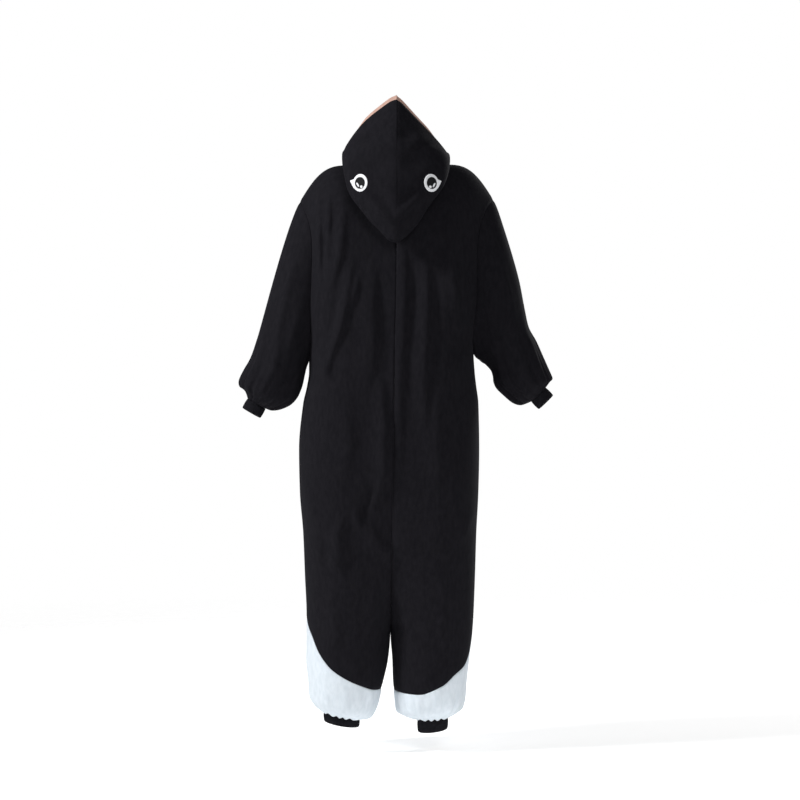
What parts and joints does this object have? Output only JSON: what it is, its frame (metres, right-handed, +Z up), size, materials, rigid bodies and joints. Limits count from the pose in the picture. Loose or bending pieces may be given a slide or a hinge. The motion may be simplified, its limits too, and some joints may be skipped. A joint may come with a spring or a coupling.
{
  "type": "hooded penguin costume",
  "caption": "Loose hooded one-piece penguin costume in fleece: black back, sleeves and hood, white belly and legs, eyes on the hood, rib cuffs, buttoned front.",
  "frame": {"origin": "centre of the neck opening, where the costume hangs on the wearer's shoulders", "axes": "+Z up, the front faces -Y, +X is the wearer's left"},
  "size_m": [0.7527, 0.358, 1.5167],
  "materials": {
    "black_fleece": "matte",
    "white_fleece": "matte",
    "salmon_fleece": "matte",
    "black_rib": "matte",
    "eye_white": "matte",
    "button_plastic": "satin"
  },
  "bodies": {
    "root": {"back_left": "black_fleece", "back_right": "black_fleece", "back_leg_left": "white_fleece", "back_leg_right": "white_fleece", "front_side_left": "black_fleece", "front_side_right": "black_fleece", "front_belly_left": "white_fleece", "front_belly_right": "white_fleece", "button_band": "white_fleece", "button_1": "button_plastic", "button_2": "button_plastic", "button_3": "button_plastic", "button_4": "button_plastic", "button_5": "button_plastic", "sleeve_left": "black_fleece", "sleeve_right": "black_fleece", "wrist_cuff_left": "black_rib", "wrist_cuff_right": "black_rib", "ankle_cuff_left": "black_rib", "ankle_cuff_right": "black_rib", "hood_left": "black_fleece", "hood_right": "black_fleece", "peak_underside_left": "salmon_fleece", "peak_underside_right": "salmon_fleece", "eye_white_left": "eye_white", "eye_white_right": "eye_white", "pupil_left": "black_fleece", "pupil_right": "black_fleece", "glint_left_1": "eye_white", "glint_left_2": "eye_white", "glint_right_1": "eye_white", "glint_right_2": "eye_white"}
  },
  "joints": []
}
